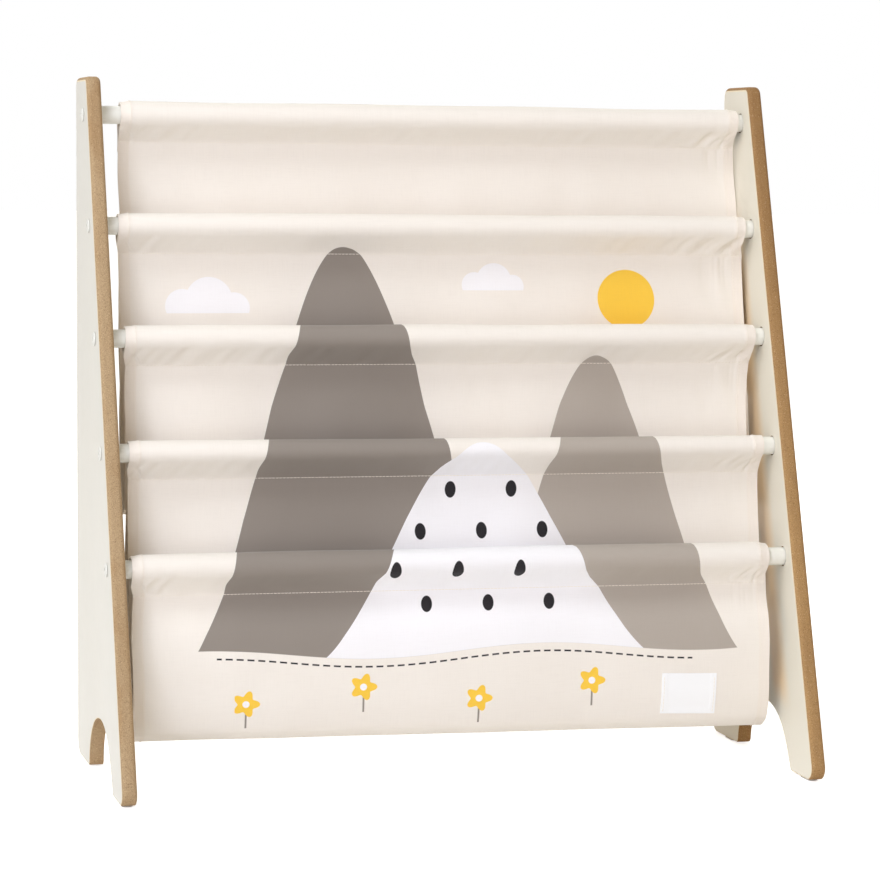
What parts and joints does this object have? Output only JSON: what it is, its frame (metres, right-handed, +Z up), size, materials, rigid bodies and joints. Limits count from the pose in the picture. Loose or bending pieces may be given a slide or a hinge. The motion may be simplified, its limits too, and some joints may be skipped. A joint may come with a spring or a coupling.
{
  "type": "sling bookshelf",
  "caption": "Low sling bookshelf for children: two sloping side panels, round dowels between them and a canvas sling that hangs from the dowels in pockets.",
  "frame": {"origin": "on the floor, under the middle of the whole shelf's box", "axes": "+Z up; the open, sloping front faces -Y; +X is to the right of someone who stands before the front"},
  "size_m": [0.6264, 0.2749, 0.61],
  "materials": {
    "painted_board": "white coat on the flat faces, bare wood fibre on the rounded edges",
    "painted_dowel": "white satin paint",
    "painted_bolt": "white powder coat",
    "insert_brass": "plain",
    "glide_plastic": "matt",
    "nail_steel": "plain",
    "canvas": "woven polyester canvas, cream, with a printed pattern",
    "ribbon": "smooth white woven tape"
  },
  "bodies": {
    "root": {"side_panel_left": "painted_board", "glide_front_left": "glide_plastic", "glide_nail_front_left": "nail_steel", "glide_rear_left": "glide_plastic", "glide_nail_rear_left": "nail_steel", "bolt_left_1": "painted_bolt", "insert_left_1": "insert_brass", "bolt_left_2": "painted_bolt", "insert_left_2": "insert_brass", "bolt_left_3": "painted_bolt", "insert_left_3": "insert_brass", "bolt_left_4": "painted_bolt", "insert_left_4": "insert_brass", "bolt_left_5": "painted_bolt", "insert_left_5": "insert_brass", "side_panel_right": "painted_board", "glide_front_right": "glide_plastic", "glide_nail_front_right": "nail_steel", "glide_rear_right": "glide_plastic", "glide_nail_rear_right": "nail_steel", "bolt_right_1": "painted_bolt", "insert_right_1": "insert_brass", "bolt_right_2": "painted_bolt", "insert_right_2": "insert_brass", "bolt_right_3": "painted_bolt", "insert_right_3": "insert_brass", "bolt_right_4": "painted_bolt", "insert_right_4": "insert_brass", "bolt_right_5": "painted_bolt", "insert_right_5": "insert_brass", "dowel_1": "painted_dowel", "casing_1": "canvas", "dowel_2": "painted_dowel", "casing_2": "canvas", "dowel_3": "painted_dowel", "casing_3": "canvas", "dowel_4": "painted_dowel", "casing_4": "canvas", "dowel_5": "painted_dowel", "casing_5": "canvas", "back_panel_1": "canvas", "front_panel_1": "canvas", "back_panel_2": "canvas", "front_panel_2": "canvas", "back_panel_3": "canvas", "front_panel_3": "canvas", "back_panel_4": "canvas", "front_panel_4": "canvas", "label": "ribbon"}
  },
  "joints": []
}
